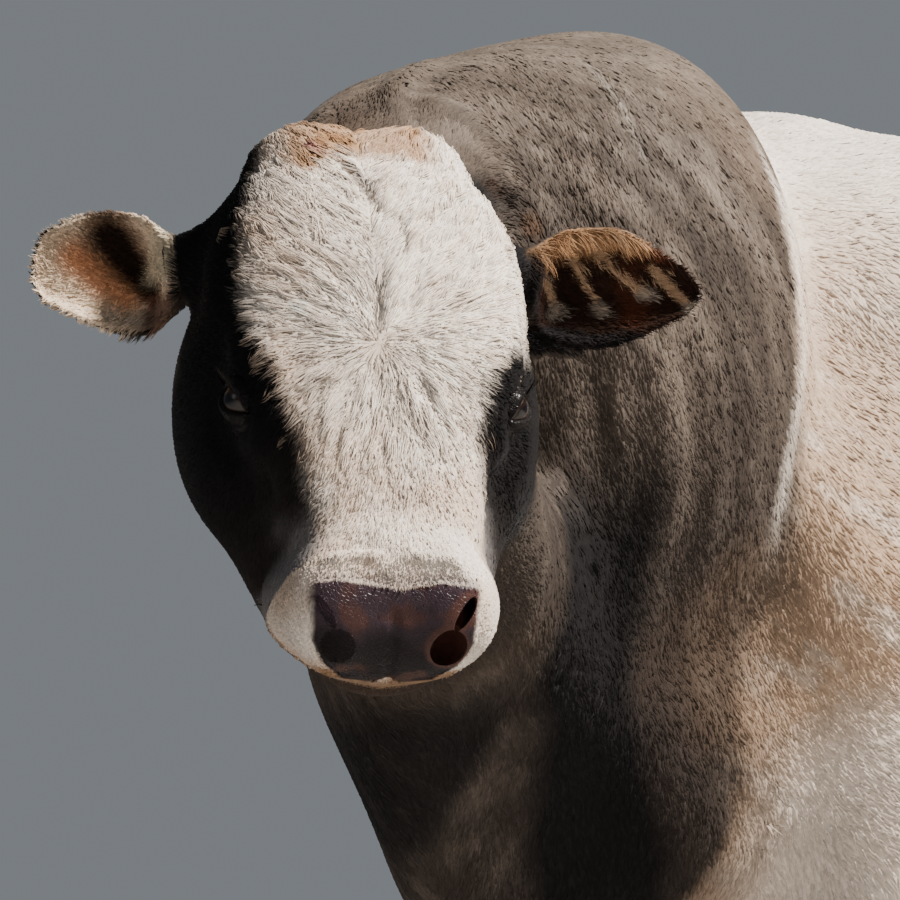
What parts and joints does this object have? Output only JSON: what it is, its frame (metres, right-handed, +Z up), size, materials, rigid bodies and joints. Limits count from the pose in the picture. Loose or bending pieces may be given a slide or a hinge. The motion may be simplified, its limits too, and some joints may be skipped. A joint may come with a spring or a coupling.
{
  "type": "piedmontese cattle",
  "caption": "Life-size standing bull, its head turned and lowered: deep neck, broad forehead, cloven hooves, tail with a brush.",
  "frame": {"origin": "middle of the underside of the whole box, on the floor between the hooves", "axes": "+Z up; the body lies along Y with the chest towards -Y; the bull's left is towards +X"},
  "size_m": [0.8608, 2.4548, 1.5055],
  "materials": {
    "coat": "short fur",
    "neck_coat": "short fur",
    "leg_coat": "short fur",
    "ear_coat": "short fur",
    "switch": "long hair",
    "eye": "wet gloss",
    "horn": "matt horn"
  },
  "bodies": {
    "root": {"head": "coat", "neck": "neck_coat", "torso": "coat", "tail": "coat", "tail_switch": "switch", "foreleg_left": "leg_coat", "foreleg_right": "leg_coat", "hindleg_left": "leg_coat", "hindleg_right": "leg_coat", "ear_left": "ear_coat", "ear_right": "ear_coat", "eye_left": "eye", "eye_right": "eye", "claw_fore_left_inner": "horn", "claw_fore_left_outer": "horn", "claw_fore_right_inner": "horn", "claw_fore_right_outer": "horn", "claw_hind_left_inner": "horn", "claw_hind_left_outer": "horn", "claw_hind_right_inner": "horn", "claw_hind_right_outer": "horn"}
  },
  "joints": []
}
